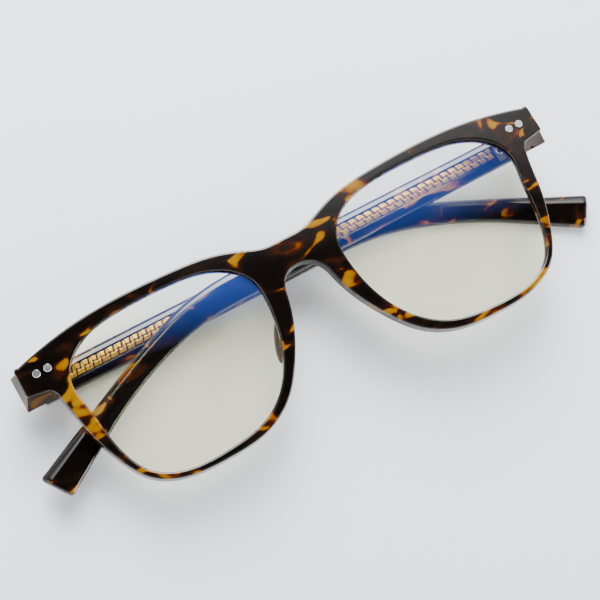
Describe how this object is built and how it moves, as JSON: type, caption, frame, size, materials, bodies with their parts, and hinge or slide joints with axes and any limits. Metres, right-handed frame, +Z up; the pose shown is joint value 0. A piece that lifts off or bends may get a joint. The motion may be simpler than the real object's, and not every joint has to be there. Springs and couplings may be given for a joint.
{
  "type": "blue light glasses",
  "caption": "Folding spectacles with a one-piece tortoiseshell acetate front, clear blue-light lenses and temples with metal wire cores.",
  "frame": {"origin": "middle of the underside of the folded spectacles as they lie on a table", "axes": "+Z up from the table, +X across the front towards the wearer's left, +Y from the lower rims towards the brow, the front facing up"},
  "size_m": [0.156, 0.0467, 0.0169],
  "materials": {
    "tortoiseshell_acetate": "polished, nearly black with a few amber patches",
    "coated_lens": "clear resin with a blue anti-reflection coating",
    "core_metal": "rolled with a fine brick pattern",
    "hinge_metal": "satin nickel silver",
    "rivet_metal": "polished"
  },
  "bodies": {
    "front": {"front_frame": "tortoiseshell_acetate", "hinge_front_leaf_left": "hinge_metal", "hinge_front_leaf_right": "hinge_metal", "hinge_screw_left": "hinge_metal", "hinge_screw_right": "hinge_metal", "lens_left": "coated_lens", "lens_right": "coated_lens", "nose_pad_left": "tortoiseshell_acetate", "nose_pad_right": "tortoiseshell_acetate", "rivet_left_1": "rivet_metal", "rivet_left_2": "rivet_metal", "rivet_right_1": "rivet_metal", "rivet_right_2": "rivet_metal"},
    "left_temple": {"hinge_temple_leaf_left": "hinge_metal", "temple_core_left": "core_metal", "temple_left": "tortoiseshell_acetate", "temple_rivet_left": "rivet_metal"},
    "right_temple": {"hinge_temple_leaf_right": "hinge_metal", "temple_core_right": "core_metal", "temple_right": "tortoiseshell_acetate", "temple_rivet_right": "rivet_metal"}
  },
  "joints": [
    {"name": "left_temple_fold", "type": "hinge", "parent": "front", "child": "left_temple", "pos_m": [0.06652, 0.01414, 0.00923], "axis": [0.0019, -0.9983, -0.0589], "range_deg": [0, 94.5]},
    {"name": "right_temple_fold", "type": "hinge", "parent": "front", "child": "right_temple", "pos_m": [-0.0666, 0.01414, 0.00486], "axis": [-0.0019, 0.9983, 0.0589], "range_deg": [0, 91]}
  ]
}
